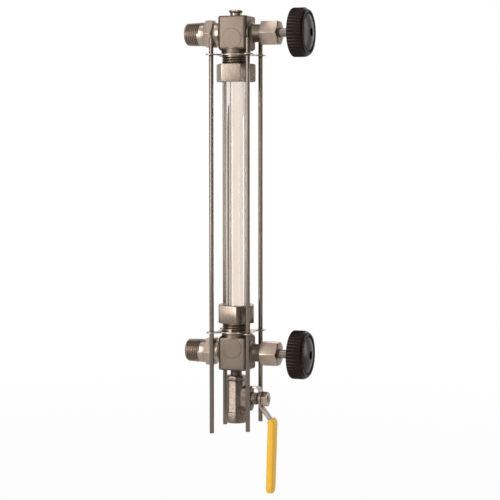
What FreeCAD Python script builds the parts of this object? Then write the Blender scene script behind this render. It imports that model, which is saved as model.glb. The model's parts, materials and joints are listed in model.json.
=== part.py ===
import FreeCAD, Part
import math
import os

# Tubular glass liquid level gauge with two needle gauge valves, four guard rods,
# a vent plug and a quarter-turn drain valve. Millimetres, +Z up.
# The origin is the centre of the lower shank's end face, +X runs along the shank
# towards the handwheels, and the glass stands on the line X = shank_reach, Y = 0.

Vector = FreeCAD.Vector

# Whole gauge
centre_distance = 285.75
shank_reach = 46.5

# Clearances
running_clearance = 0.06
part_clearance = 0.02
seat_gap = 0.1
stop_gap = 0.5

# Small details that many turned pieces share, and how far a cut runs past its face
lead_in = 0.8
edge_break = 0.5
chamfer_slope = 0.6
overrun = 1.0
hex_sides = 6

# Gauge glass and its seal
glass_diameter = 19.05
glass_wall = 2.8
glass_end = 13.0
glass_slip = 0.3
gasket_thickness = 1.5
packing_height = 6.0
packing_wall = 1.9
follower_collar = 2.5
follower_sleeve = 1.6

# Valve body block, measured from the crossing of its two axes
block_back = 13.0
block_front = 14.5
block_half_depth = 13.2
block_half_height = 15.4
block_corner = 3.5
shoulder_corner = 3.4
foot_corner = 1.6
pad_radius = 8.7
pad_offset = 4.7
pad_rise = 0.3
shank_pad_rim = 0.6
shank_pad_rise = 0.5
chamber_radius = 5.5

# Neck that takes the gland nut, with the guard plate against its shoulder
neck_radius = 12.7
neck_root_radius = 13.1
neck_root_height = 2.9
plate_thickness = 1.1
plate_to_nut = 7.6
nut_engagement = 8.4

# Gland nut
gland_nut_flats = 31.75
gland_nut_height = 16.0
gland_nut_chamfer = 1.3
gland_nut_wall = 4.3
upper_nut_turn = 57.4
lower_nut_turn = -70.0

# Guard plates and rods
rod_diameter = 4.0
rod_offset = 17.2
rod_above = -4.5
rod_below = 69.8
rod_slip = {"front_left": 2.6, "front_right": -0.8, "rear_left": 0.0, "rear_right": -4.8}
arm_width = 9.6
hub_radius = 17.0
arm_root_fillet = 2.5

# Shank with its tapered male pipe thread
thread_radius = 10.67
thread_length = 15.7
thread_taper = 1.0 / 16.0
thread_chamfer = 1.3
collar_length = 3.2
collar_fall = 0.25
shank_hex_flats = 23.8
shank_hex_length = 8.8
shank_hex_chamfer = 2.5
shank_flange_radius = 11.2
shank_neck_radius = 10.0
shank_sweep = 2.4
shank_sweep_share = (0.42, 0.29)
shank_spigot_radius = 9.5
shank_spigot_end = -6.2
shank_bore = 6.0
seat_bore = 3.2
seat_length = 5.0

# Stuffing box on the handwheel side
boss_radius = 11.6
boss_rise = 0.9
box_root_fillet = 3.2
box_radius = 8.0
box_end = 31.0
box_bore = 6.5
box_floor = 21.0
stem_packing_length = 5.2
bush_length = 6.3
bush_lip = 0.9
packing_nut_flats = 20.6
packing_nut_start = 25.3
packing_nut_length = 16.2
packing_nut_base = 1.15
packing_nut_chamfer = 1.9

# Stem and its turning tip, drawn three turns open
stem_radius = 3.97
stem_thread_radius = 4.76
stem_thread_start = 7.0
stem_thread_end = 18.0
stem_pitch = 1.5875
turns_open = 3.0
tip_radius = 4.0
tip_nose_radius = 1.5
tip_half_angle = 30.0
tip_barrel = 3.0
tip_stub_radius = 2.0
tip_stub_length = 4.0

# Handwheel
wheel_diameter = 43.4
wheel_back = 53.7
wheel_width = 14.8
wheel_crown = 2.0
wheel_crown_share = (0.72, 0.52)
flute_count = 48
flute_depth = 0.7
rim_wall = 4.1
web_depth = 6.0
hub_wall = 3.0
hub_recess = 1.0
mould_draft = 0.6
back_round = 1.5
insert_radius = 6.0
insert_cap = 2.0
insert_depth = 4.0
insert_dimple = 1.2
centre_hole = 4.0
wheel_front_round = 5.2
wheel_front_fall = 2.4
wheel_front_share = (0.36, 0.31)
groove_radius = 16.4
groove_width = 1.1
groove_depth = 1.6
groove_lip = 0.2

# Port on the far side of each body, for the vent plug and the drain valve
port_radius = 5.15
port_depth = 8.9
port_bore = 3.6

# Vent plug
plug_neck = 2.4
plug_head_radius = 6.45
plug_head_flare = 1.9
plug_head_rim = 0.7
plug_head_crown = 0.6
plug_slot_width = 1.7
plug_slot_depth = 1.7
plug_slot_turn = 62.0
plug_crown_inset = 1.6
plug_thread = 8.4

# Drain valve, hanging under the lower body
drain_neck = 5.9
drain_neck_radius = 5.05
end_collar_flats = 17.2
end_collar_height = 3.8
end_collar_chamfer = 0.8
drain_groove = 0.8
drain_groove_radius = 7.6
drain_sides = 8
drain_turn = 15.0
drain_flats = 16.0
drain_bar_chamfer = 0.4
drain_bar_length = 28.2
outlet_flats = 17.6
outlet_length = 9.9
outlet_chamfer = 1.1
outlet_thread_radius = 4.4
outlet_thread_length = 9.5
drain_bore = 2.7
ball_radius = 5.5
ball_drop = 41.5
seat_outer_radius = 6.4
seat_thickness = 3.4
seat_backing = 1.5
boss_reach = 15.5
boss_half_width = 5.4
boss_half_height = 11.3
boss_round = 1.2
lug_radius = 3.4
lug_height = 10.0
lug_reach = 9.6
lug_drop = 12.6
lug_angle = -42.0
lug_dimple = 1.5
drain_stem_radius = 3.1
drain_stem_flats = 4.6
gland_hex_flats = 10.2
gland_hex_length = 5.4
gland_thread_radius = 4.3
gland_thread_length = 5.0
stem_seal_length = 2.6
tang_width = 3.0
tang_depth = 1.6
tang_height = 5.6

# Lever, its vinyl grip and its nut
lever_plane = 23.0
lever_thickness = 2.0
lever_top = 11.1
lever_tab_width = 5.6
lever_eye_radius = 7.2
lever_knee = -7.0
lever_joggle = 10.8
lever_joggle_drop = 14.0
lever_length = 85.6
lever_width = 8.4
lever_lean = 1.8
grip_thickness = 6.8
grip_width = 11.6
grip_end_width = 10.8
grip_start = -18.6
grip_fillet = 2.2
grip_skin = 1.9
lever_bend = 4.5
lever_spare = 5.0
lever_nut_flats = 12.1
lever_nut_thickness = 5.6
lever_nut_chamfer = 0.8
lever_nut_turn = 40.0
lever_stud_radius = 2.9
lever_stud_proud = 0.8

# Heights along the tube side of a valve, from the crossing of its axes
plate_seat = block_half_height + neck_root_height
nut_start = plate_seat + plate_thickness + plate_to_nut
nut_end = nut_start + gland_nut_height
neck_end = nut_start + nut_engagement
glass_radius = glass_diameter / 2
socket_radius = glass_radius + glass_slip
socket_floor = glass_end - gasket_thickness
packing_radius = glass_radius + packing_wall
packing_top = neck_end - follower_sleeve
packing_floor = packing_top - packing_height
packing_bevel = packing_wall / 2
nut_shoulder = nut_end - gland_nut_wall
seat_face = shank_spigot_end
shank_face = block_back + shank_pad_rise
pad_centre = (block_front - block_back) / 2
stem_travel = turns_open * stem_pitch
box_thread_bore = stem_thread_radius + running_clearance
wheel_radius = wheel_diameter / 2
wheel_front = wheel_back + wheel_width
insert_end = wheel_front - insert_depth


# Places (a, b) of a profile on the plane that holds the turning axis
def along_x(position, radius):
    return Vector(position, 0, radius)


def along_z(radius, position):
    return Vector(radius, 0, position)


# A face from corners; a corner with two more numbers ends an arc through that point
def face_from(corners, to_vector):
    edges = []
    last = to_vector(*corners[-1][:2])
    for corner in corners:
        end = to_vector(*corner[:2])
        if len(corner) == 4:
            edges.append(Part.Arc(last, to_vector(*corner[2:]), end).toShape())
        else:
            edges.append(Part.makeLine(last, end))
        last = end
    return Part.Face(Part.Wire(edges))


def turned_x(corners):
    return face_from(corners, along_x).revolve(Vector(), Vector(1, 0, 0), 360)


def turned_z(corners):
    return face_from(corners, along_z).revolve(Vector(), Vector(0, 0, 1), 360)


def rod_x(radius, start, end):
    return Part.makeCylinder(radius, end - start, Vector(start, 0, 0), Vector(1, 0, 0))


def rod_z(radius, start, end, x=0.0, y=0.0):
    return Part.makeCylinder(radius, end - start, Vector(x, y, start), Vector(0, 0, 1))


# Bar with flats along X or Z, both ends turned to chamfers
def bar(axis, sides, flats, start, end, chamfers, turn=0.0):
    corner = flats / 2 / math.cos(math.pi / sides)
    beyond = corner + part_clearance
    first, last = chamfers
    profile = [
        (start, 0), (start, corner - first), (start + first * chamfer_slope, beyond),
        (end - last * chamfer_slope, beyond), (end, corner - last), (end, 0)]
    outline = []
    for index in range(sides + 1):
        angle = math.radians(turn + 360 / sides * index)
        outline.append((corner * math.cos(angle), corner * math.sin(angle)))
    if axis == "x":
        barrel = turned_x(profile)
        corners = [Vector(start, y, z) for y, z in outline]
        run = Vector(end - start, 0, 0)
    else:
        barrel = turned_z([(radius, position) for position, radius in profile])
        corners = [Vector(x, y, start) for x, y in outline]
        run = Vector(0, 0, end - start)
    return Part.Face(Part.makePolygon(corners)).extrude(run).common(barrel)


def hex_x(flats, start, end, chamfers, turn=0.0):
    return bar("x", hex_sides, flats, start, end, chamfers, turn)


def hex_z(flats, start, end, chamfers, turn=0.0):
    return bar("z", hex_sides, flats, start, end, chamfers, turn)


def box_between(low, high):
    size = [high[axis] - low[axis] for axis in range(3)]
    return Part.makeBox(size[0], size[1], size[2], Vector(*low))


# Edges of a shape that run along one axis and pass a test on their middle point
def edges_along(shape, direction, test):
    chosen = []
    for edge in shape.Edges:
        if len(edge.Vertexes) != 2:
            continue
        run = edge.Vertexes[1].Point.sub(edge.Vertexes[0].Point)
        if run.Length > 0 and abs(run.normalize().dot(direction)) > 0.999:
            if test(edge.CenterOfMass):
                chosen.append(edge)
    return chosen


def save(node, shape):
    if shape.ShapeType == "Compound" and len(shape.Solids) == 1:
        shape = shape.Solids[0]
    shape.exportStep("parts/" + node + ".step")


# The lower valve stands as drawn; the upper one is the same casting turned over
def lower_place(shape):
    placed = shape.copy()
    placed.translate(Vector(shank_reach, 0, 0))
    return placed


def upper_place(shape):
    placed = shape.copy()
    placed.rotate(Vector(), Vector(1, 0, 0), 180)
    placed.translate(Vector(shank_reach, 0, centre_distance))
    return placed


# Cast block with the threaded neck, the domed stuffing box and the front pads
def valve_body():
    block = box_between(
        (-block_back, -block_half_depth, -block_half_height),
        (block_front, block_half_depth, block_half_height))
    upright = edges_along(block, Vector(0, 0, 1), lambda point: True)
    block = block.makeFillet(block_corner, upright)
    near = block_half_height - part_clearance
    shoulder = [edge for edge in block.Edges if edge.BoundBox.ZMin > near]
    block = block.makeFillet(shoulder_corner, shoulder)
    foot = [edge for edge in block.Edges if edge.BoundBox.ZMax < -near]
    block = block.makeFillet(foot_corner, foot)
    boss_face = block_front + boss_rise
    root = box_root_fillet
    root_middle = root * (1 - math.sqrt(0.5))
    bonnet = turned_x([
        (0, 0), (0, boss_radius), (boss_face - edge_break, boss_radius),
        (boss_face, box_radius + root),
        (boss_face + root, box_radius, boss_face + root_middle, box_radius + root_middle),
        (box_end - lead_in, box_radius), (box_end, box_radius - lead_in), (box_end, 0)])
    neck = turned_z([
        (0, 0), (neck_root_radius, 0), (neck_root_radius, plate_seat),
        (neck_radius, plate_seat), (neck_radius, neck_end - lead_in),
        (neck_radius - lead_in, neck_end), (0, neck_end)])
    shank_pad = rod_x(shank_neck_radius + shank_pad_rim, -shank_face, 0)
    body = block.fuse([bonnet, neck, shank_pad])
    for side in (-1, 1):
        reach = block_half_depth + pad_rise
        pad = Part.makeCylinder(
            pad_radius, reach, Vector(pad_centre, 0, pad_offset), Vector(0, side, 0))
        body = body.fuse(pad)
    holes = [
        rod_z(socket_radius, socket_floor, neck_end + overrun),
        turned_z([
            (0, packing_floor), (socket_radius, packing_floor),
            (packing_radius, packing_floor + packing_bevel),
            (packing_radius, neck_end + overrun), (0, neck_end + overrun)]),
        rod_z(chamber_radius, 0, socket_floor + overrun),
        rod_z(port_bore, -block_half_height, 0),
        rod_z(port_radius, -block_half_height - overrun, port_depth - block_half_height),
        rod_x(shank_spigot_radius, -shank_face - overrun, shank_spigot_end + seat_gap),
        rod_x(box_thread_bore, shank_spigot_end - overrun, box_floor + overrun),
        rod_x(box_bore, box_floor, box_end + overrun),
    ]
    return body.cut(Part.makeCompound(holes)).removeSplitter()


# Threaded shank: tapered thread, collar, barrel-shaped hexagon, neck and seat
def process_shank():
    tip = -shank_reach
    thread_end = tip + thread_length
    small = thread_radius - thread_length * thread_taper / 2
    hex_start = thread_end + collar_length
    hex_end = hex_start + shank_hex_length
    flange_rise = shank_flange_radius - shank_neck_radius
    shaft = turned_x([
        (tip, 0), (tip, small - thread_chamfer), (tip + thread_chamfer, small),
        (thread_end, thread_radius), (hex_start, thread_radius - collar_fall),
        (hex_end, shank_flange_radius),
        (hex_end + shank_sweep, shank_neck_radius,
         hex_end + shank_sweep * shank_sweep_share[0],
         shank_neck_radius + flange_rise * shank_sweep_share[1]),
        (-shank_face, shank_neck_radius),
        (-shank_face, shank_spigot_radius - part_clearance),
        (shank_spigot_end, shank_spigot_radius - part_clearance), (shank_spigot_end, 0)])
    crown = hex_x(
        shank_hex_flats, hex_start, hex_end, (shank_hex_chamfer, shank_hex_chamfer))
    seat_start = seat_face - seat_length
    bore = turned_x([
        (tip - overrun, 0), (tip - overrun, shank_bore),
        (seat_start - (shank_bore - seat_bore) * chamfer_slope, shank_bore),
        (seat_start, seat_bore), (seat_face + overrun, seat_bore), (seat_face + overrun, 0)])
    return shaft.fuse(crown).cut(bore).removeSplitter()


# Cone tip that turns freely on the stem's end, so it does not scrub the seat
def stem_tip():
    slope = math.tan(math.radians(tip_half_angle))
    touch = seat_bore - seat_gap
    closed_nose = seat_face - (touch - tip_nose_radius) / slope
    nose = closed_nose + stem_travel
    barrel = nose + (tip_radius - tip_nose_radius) / slope
    back = barrel + tip_barrel
    return turned_x([
        (nose, 0), (nose, tip_nose_radius), (barrel, tip_radius), (back, tip_radius),
        (back, tip_stub_radius), (back + tip_stub_length, tip_stub_radius),
        (back + tip_stub_length, 0)]), back


def stem(tip_back):
    front = tip_back + running_clearance
    socket = tip_stub_radius + running_clearance
    socket_end = tip_back + tip_stub_length + seat_gap
    end = insert_end - insert_cap - seat_gap
    return turned_x([
        (front, socket), (front, stem_radius), (stem_thread_start, stem_radius),
        (stem_thread_start + lead_in, stem_thread_radius),
        (stem_thread_end - lead_in, stem_thread_radius), (stem_thread_end, stem_radius),
        (end - lead_in, stem_radius), (end, stem_radius - lead_in), (end, 0),
        (socket_end, 0), (socket_end, socket)])


def stem_packing():
    inner = stem_radius + running_clearance
    return turned_x([
        (box_floor, inner), (box_floor, box_bore - part_clearance),
        (box_floor + stem_packing_length, box_bore - part_clearance),
        (box_floor + stem_packing_length, inner)])


def packing_bush():
    start = box_floor + stem_packing_length
    inner = stem_radius + running_clearance
    collar = box_end + stop_gap
    outer = box_bore - part_clearance
    return turned_x([
        (start, inner), (start, outer), (collar, outer), (collar, outer + bush_lip),
        (start + bush_length, outer + bush_lip), (start + bush_length, inner)])


def packing_nut():
    end = packing_nut_start + packing_nut_length
    shell = hex_x(
        packing_nut_flats, packing_nut_start, end, (packing_nut_base, packing_nut_chamfer))
    bush_end = box_floor + stem_packing_length + bush_length
    cavity = rod_x(box_radius + part_clearance, packing_nut_start - overrun, bush_end)
    hole = rod_x(stem_radius + running_clearance, bush_end - overrun, end + overrun)
    return shell.cut(cavity).cut(hole)


# Fluted rim with a recessed back and a domed disc inside a groove at the front
def handwheel():
    step = 2 * math.pi / flute_count
    arcs = []
    valley = wheel_radius - flute_depth
    for index in range(flute_count):
        places = [(wheel_radius, index), (valley, index + 0.5), (wheel_radius, index + 1)]
        points = [
            Vector(0, radius * math.cos(step * turn), radius * math.sin(step * turn))
            for radius, turn in places]
        arcs.append(Part.Arc(*points).toShape())
    fluted = Part.Face(Part.Wire(arcs)).extrude(
        Vector(wheel_front + wheel_crown + overrun, 0, 0))
    rim = wheel_radius - rim_wall
    hub = insert_radius + hub_wall
    groove_floor = wheel_front - groove_depth
    groove_edge = groove_radius + groove_width
    hub_face = wheel_back + hub_recess
    back_middle = back_round * (1 - math.sqrt(0.5))
    shape = turned_x([
        (hub_face, insert_radius), (hub_face, hub),
        (wheel_back + web_depth, hub + mould_draft), (wheel_back + web_depth, rim - mould_draft),
        (wheel_back + edge_break, rim), (wheel_back, rim + edge_break),
        (wheel_back, wheel_radius - back_round),
        (wheel_back + back_round, wheel_radius,
         wheel_back + back_middle, wheel_radius - back_middle),
        (wheel_front - wheel_front_round, wheel_radius),
        (wheel_front, wheel_radius - wheel_front_fall,
         wheel_front - wheel_front_round * wheel_front_share[0],
         wheel_radius - wheel_front_fall * wheel_front_share[1]),
        (wheel_front - groove_lip, groove_edge + edge_break), (groove_floor, groove_edge),
        (groove_floor, groove_radius), (wheel_front - edge_break, groove_radius - edge_break),
        (wheel_front + wheel_crown, centre_hole,
         wheel_front + wheel_crown * wheel_crown_share[0],
         groove_radius * wheel_crown_share[1]),
        (insert_end, centre_hole), (insert_end, insert_radius)])
    return shape.common(fluted)


def handwheel_insert():
    bore = stem_radius + part_clearance
    outer = insert_radius - part_clearance
    cap = insert_end - insert_cap
    return turned_x([
        (wheel_back + hub_recess, bore), (wheel_back + hub_recess, outer), (insert_end, outer),
        (insert_end, insert_dimple), (insert_end - insert_dimple * chamfer_slope, 0), (cap, 0),
        (cap, bore)])


def tube_gasket():
    bore = glass_radius - glass_wall
    return turned_z([
        (bore, socket_floor), (socket_radius - part_clearance, socket_floor),
        (socket_radius - part_clearance, glass_end), (bore, glass_end)])


def glass_packing():
    inner = glass_radius + part_clearance
    outer = packing_radius - part_clearance
    floor = packing_floor + part_clearance
    return turned_z([
        (inner, floor + packing_bevel / 2), (socket_radius, floor),
        (outer, floor + packing_bevel), (outer, packing_top), (inner, packing_top)])


def gland_follower():
    inner = glass_radius + glass_slip
    sleeve = packing_radius - part_clearance
    collar = nut_shoulder - follower_collar
    return turned_z([
        (inner, packing_top), (sleeve, packing_top), (sleeve, collar),
        (neck_radius - glass_slip, collar), (neck_radius - glass_slip, nut_shoulder),
        (inner, nut_shoulder)])


def gland_nut(turn):
    shell = hex_z(
        gland_nut_flats, nut_start, nut_end, (gland_nut_chamfer, gland_nut_chamfer), turn)
    cavity = rod_z(neck_radius + part_clearance, nut_start - overrun, nut_shoulder)
    hole = rod_z(socket_radius + glass_slip, nut_shoulder - overrun, nut_end + overrun)
    return shell.cut(cavity).cut(hole)


# Stamped plate with four arms, each with a hole for a guard rod
def guard_plate():
    top = plate_seat + plate_thickness
    plate = rod_z(hub_radius, plate_seat, top)
    reach = rod_offset * math.sqrt(2)
    for quarter in range(4):
        arm = box_between((0, -arm_width / 2, plate_seat), (reach, arm_width / 2, top))
        tip = rod_z(arm_width / 2, plate_seat, top, reach)
        arm = arm.fuse(tip)
        arm.rotate(Vector(), Vector(0, 0, 1), 45 + 90 * quarter)
        plate = plate.fuse(arm)
    plate = plate.removeSplitter()
    crease = edges_along(
        plate, Vector(0, 0, 1),
        lambda point: abs(math.hypot(point.x, point.y) - hub_radius) < part_clearance)
    plate = plate.makeFillet(arm_root_fillet, crease)
    holes = [rod_z(neck_radius + part_clearance, plate_seat - overrun, top + overrun)]
    for x in (-rod_offset, rod_offset):
        for y in (-rod_offset, rod_offset):
            holes.append(rod_z(
                rod_diameter / 2 + part_clearance, plate_seat - overrun, top + overrun, x, y))
    return plate.cut(Part.makeCompound(holes))


# Slotted plug screwed into the upper body's outer port
def vent_plug():
    face = -block_half_height
    head = face - plug_neck
    rim = head - plug_head_flare
    top = rim - plug_head_rim
    crown = top - plug_head_crown
    plug = turned_z([
        (0, face + plug_thread), (port_radius - lead_in, face + plug_thread),
        (port_radius - part_clearance, face + plug_thread - lead_in),
        (port_radius - part_clearance, head), (plug_head_radius, rim), (plug_head_radius, top),
        (plug_head_radius - plug_crown_inset, crown), (0, crown)])
    slot = box_between(
        (-plug_head_radius - overrun, -plug_slot_width / 2, crown - overrun),
        (plug_head_radius + overrun, plug_slot_width / 2, crown + plug_slot_depth))
    slot.rotate(Vector(), Vector(0, 0, 1), plug_slot_turn)
    return plug.cut(slot)


# Heights of the drain valve, measured down from the lower valve's centre
collar_top = -block_half_height - drain_neck
collar_foot = collar_top - end_collar_height
drain_top = collar_foot - drain_groove
drain_bar_foot = drain_top - drain_bar_length
drain_foot = drain_bar_foot - outlet_length
ball_centre = -ball_drop
upper_seat_back = ball_centre + ball_radius + seat_backing
lower_seat_back = ball_centre - ball_radius - seat_backing
gland_start = boss_reach - gland_thread_length
seal_start = gland_start - stem_seal_length


# Male end of the drain valve, screwed into its body and into the lower port
def drain_end():
    start = -block_half_height + plug_thread
    spigot = seat_outer_radius - part_clearance
    neck = drain_neck_radius
    post = turned_z([
        (0, start), (port_radius - lead_in, start),
        (port_radius - part_clearance, start - lead_in),
        (port_radius - part_clearance, -block_half_height),
        (neck, -block_half_height - edge_break),
        (neck, collar_top), (drain_groove_radius, collar_foot + edge_break),
        (drain_groove_radius, drain_top), (spigot, drain_top), (spigot, upper_seat_back),
        (0, upper_seat_back)])
    collar = bar(
        "z", drain_sides, end_collar_flats, collar_foot, collar_top,
        (drain_bar_chamfer, end_collar_chamfer), drain_turn)
    bore = rod_z(drain_bore, upper_seat_back - overrun, start + overrun)
    return post.fuse(collar).cut(bore).removeSplitter()


# Drain valve body: bar with eight flats, round-ended stem boss, lug and threaded outlet
def drain_body():
    body = bar(
        "z", drain_sides, drain_flats, drain_bar_foot - overrun, drain_top,
        (drain_bar_chamfer, drain_bar_chamfer), drain_turn)
    foot = bar(
        "z", drain_sides, outlet_flats, drain_foot, drain_bar_foot,
        (outlet_chamfer, outlet_chamfer), drain_turn)
    body = body.fuse(foot)
    straight = boss_half_height - boss_half_width
    boss = box_between(
        (0, -boss_half_width, ball_centre - straight),
        (boss_reach, boss_half_width, ball_centre + straight))
    for end in (-straight, straight):
        round_end = Part.makeCylinder(
            boss_half_width, boss_reach, Vector(0, 0, ball_centre + end), Vector(1, 0, 0))
        boss = boss.fuse(round_end)
    boss = boss.removeSplitter()
    rim = [edge for edge in boss.Edges if edge.BoundBox.XMin > boss_reach - part_clearance]
    boss = boss.makeFillet(boss_round, rim)
    body = body.fuse(boss)
    angle = math.radians(lug_angle)
    outward = Vector(math.cos(angle), math.sin(angle), 0)
    rise = lug_height / 2 - lug_radius
    lug_middle = ball_centre - lug_drop
    lug_parts = []
    for end in (-rise, rise):
        foot_point = Vector(0, 0, lug_middle + end)
        lug_parts.append(Part.makeCylinder(lug_radius, lug_reach, foot_point, outward))
    between = box_between((0, -lug_radius, -rise), (lug_reach, lug_radius, rise))
    between.rotate(Vector(), Vector(0, 0, 1), lug_angle)
    between.translate(Vector(0, 0, lug_middle))
    lug = lug_parts[0].fuse([lug_parts[1], between]).removeSplitter()
    body = body.fuse(lug)
    face_point = Vector(0, 0, lug_middle).add(outward * (lug_reach + lug_dimple / 2))
    holes = [
        rod_z(seat_outer_radius, lower_seat_back, drain_top + overrun),
        rod_z(drain_bore, drain_foot - overrun, lower_seat_back + overrun),
        rod_z(outlet_thread_radius, drain_foot - overrun, drain_foot + outlet_thread_length),
        Part.makeSphere(lug_dimple, face_point),
    ]
    stem_hole = [
        rod_x(drain_stem_radius + running_clearance, 0, boss_reach + overrun),
        rod_x(gland_thread_radius, seal_start, boss_reach + overrun),
    ]
    for hole in stem_hole:
        hole.translate(Vector(0, 0, ball_centre))
        holes.append(hole)
    return body.cut(Part.makeCompound(holes)).removeSplitter()


def ball_seat(back, towards):
    ring = turned_z([
        (drain_bore, back), (seat_outer_radius - part_clearance, back),
        (seat_outer_radius - part_clearance, back + towards * seat_thickness),
        (drain_bore, back + towards * seat_thickness)])
    pocket = Part.makeSphere(ball_radius + running_clearance, Vector(0, 0, ball_centre))
    return ring.cut(pocket)


def drain_ball():
    ball = Part.makeSphere(ball_radius, Vector(0, 0, ball_centre))
    reach = ball_radius + overrun
    bore = rod_z(drain_bore, ball_centre - reach, ball_centre + reach)
    slot = box_between(
        (ball_radius - tang_depth, -ball_radius, ball_centre - tang_width / 2),
        (reach, ball_radius, ball_centre + tang_width / 2))
    slot.rotate(Vector(0, 0, ball_centre), Vector(1, 0, 0), 90)
    return ball.cut(bore).cut(slot)


def drain_stem():
    tang_start = ball_radius - tang_depth + part_clearance
    shoulder = ball_radius + stop_gap
    end = lever_plane + lever_thickness + lever_nut_thickness + lever_stud_proud
    shaft = turned_x([
        (shoulder, 0), (shoulder, drain_stem_radius), (lever_plane, drain_stem_radius),
        (lever_plane, lever_stud_radius), (end - edge_break, lever_stud_radius),
        (end, lever_stud_radius - edge_break), (end, 0)])
    tang = box_between(
        (tang_start, part_clearance - tang_width / 2, -tang_height / 2),
        (shoulder + overrun, tang_width / 2 - part_clearance, tang_height / 2))
    shaft = shaft.fuse(tang)
    flats_end = lever_plane + lever_thickness + lever_nut_thickness - overrun
    for side in (-1, 1):
        flat = box_between(
            (lever_plane, -drain_stem_radius, drain_stem_flats / 2),
            (flats_end, drain_stem_radius, drain_stem_radius))
        if side < 0:
            flat.rotate(Vector(), Vector(1, 0, 0), 180)
        shaft = shaft.cut(flat)
    shaft = shaft.removeSplitter()
    shaft.translate(Vector(0, 0, ball_centre))
    return shaft


def stem_seal():
    inner = drain_stem_radius + running_clearance
    outer = gland_thread_radius - part_clearance
    seal = turned_x([
        (seal_start, inner), (seal_start, outer), (gland_start, outer), (gland_start, inner)])
    seal.translate(Vector(0, 0, ball_centre))
    return seal


def drain_gland():
    head = boss_reach + seat_gap
    end = head + gland_hex_length
    screw = rod_x(gland_thread_radius - part_clearance, gland_start, head + overrun)
    crown = hex_x(gland_hex_flats, head, end, (edge_break, lead_in))
    hole = rod_x(drain_stem_radius + running_clearance, gland_start - overrun, end + overrun)
    gland = screw.fuse(crown).cut(hole).removeSplitter()
    gland.translate(Vector(0, 0, ball_centre))
    return gland


# Side view of a bent strip of even thickness that follows a path with round bends
def strip_face(path, thickness):
    sides = []
    for offset in (thickness / 2, -thickness / 2):
        stations = []
        for index, point in enumerate(path):
            here = Vector(point[0], 0, point[1])
            before = path[max(index - 1, 0)]
            after = path[min(index + 1, len(path) - 1)]
            arriving = here.sub(Vector(before[0], 0, before[1]))
            leaving = Vector(after[0], 0, after[1]).sub(here)
            if index == 0:
                stations.append([here.add(across(leaving) * offset)])
                continue
            if index == len(path) - 1:
                stations.append([here.add(across(arriving) * offset)])
                continue
            half_turn = arriving.getAngle(leaving) / 2
            setback = lever_bend * math.tan(half_turn)
            arriving.normalize()
            leaving.normalize()
            centre_side = leaving.sub(arriving).normalize()
            centre = here.add(centre_side * (lever_bend / math.cos(half_turn)))
            outward = -1 if across(arriving).dot(centre_side) > 0 else 1
            middle = centre.sub(centre_side * (lever_bend + outward * offset))
            stations.append([
                here.sub(arriving * setback).add(across(arriving) * offset), middle,
                here.add(leaving * setback).add(across(leaving) * offset)])
        sides.append(stations)
    back = [station[::-1] for station in sides[1][::-1]]
    corners = []
    for station in sides[0] + back:
        corners.append((station[0].x, station[0].z))
        if len(station) == 3:
            corners.append((station[2].x, station[2].z, station[1].x, station[1].z))
    return face_from(corners, along_z)


def across(direction):
    return Vector(-direction.z, 0, direction.x).normalize()


# Middle line of the lever in the XZ plane, from its bent tab to beyond its free end
def lever_path():
    middle = lever_plane + lever_thickness / 2
    top = ball_centre + lever_top - lever_thickness / 2
    knee = ball_centre + lever_knee
    foot = knee - lever_joggle_drop
    end = ball_centre - lever_length - lever_spare
    lean = math.tan(math.radians(lever_lean)) * (foot - end)
    return [
        (boss_reach + stop_gap, top), (middle, top), (middle, knee),
        (middle + lever_joggle, foot),
        (middle + lever_joggle - lean, end)]


def lever():
    strip = strip_face(lever_path(), lever_thickness)
    strip.translate(Vector(0, -lever_eye_radius, 0))
    strip = strip.extrude(Vector(0, lever_eye_radius * 2, 0))
    half = lever_width / 2
    end = ball_centre - lever_length + grip_skin
    beyond = lever_plane + lever_joggle + grip_thickness + overrun
    eye = Part.makeCylinder(lever_eye_radius, beyond, Vector(0, 0, ball_centre), Vector(1, 0, 0))
    tab = box_between(
        (0, -lever_tab_width / 2, ball_centre),
        (beyond, lever_tab_width / 2, ball_centre + lever_top + overrun))
    leg = box_between((0, -half, end + half), (beyond, half, ball_centre))
    tip = Part.makeCylinder(half, beyond, Vector(0, 0, end + half), Vector(1, 0, 0))
    blade = strip.common(eye.fuse([tab, leg, tip]))
    stud = lever_stud_radius + part_clearance
    hole = box_between(
        (0, -stud, -drain_stem_flats / 2 - part_clearance),
        (beyond, stud, drain_stem_flats / 2 + part_clearance))
    hole = hole.common(rod_x(stud, 0, beyond))
    hole.translate(Vector(0, 0, ball_centre))
    return blade.cut(hole).removeSplitter()


# Dipped vinyl sleeve over the lever's lower leg, narrowing to a round end
def lever_grip(blade):
    path = lever_path()
    knee = path[2]
    foot = path[3]
    start_height = ball_centre + grip_start
    share = (knee[1] - start_height) / (knee[1] - foot[1])
    start = (knee[0] + (foot[0] - knee[0]) * share, start_height)
    side = strip_face([start, foot, path[4]], grip_thickness)
    side.translate(Vector(0, -grip_width, 0))
    sleeve = side.extrude(Vector(0, grip_width * 2, 0))
    top = grip_width / 2
    end = grip_end_width / 2
    tip = ball_centre - lever_length
    outline = face_from([
        (-top, ball_centre), (-end, tip + end), (end, tip + end, 0, tip), (top, ball_centre)],
        lambda a, b: Vector(0, a, b))
    beyond = lever_plane + lever_joggle + grip_thickness + overrun
    sleeve = sleeve.common(outline.extrude(Vector(beyond, 0, 0)))
    rims = [
        edge for edge in sleeve.Edges
        if edge.BoundBox.ZMin < start_height - grip_width / 2 and edge.BoundBox.YLength < grip_width - edge_break
        or edge.BoundBox.ZMax < tip + end + overrun]
    return sleeve.makeFillet(grip_fillet, rims).cut(blade)


def lever_nut():
    start = lever_plane + lever_thickness
    end = start + lever_nut_thickness
    nut = hex_x(
        lever_nut_flats, start, end, (edge_break, lever_nut_chamfer), lever_nut_turn)
    nut = nut.cut(rod_x(lever_stud_radius + part_clearance, start - overrun, end + overrun))
    nut.translate(Vector(0, 0, ball_centre))
    return nut


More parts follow.
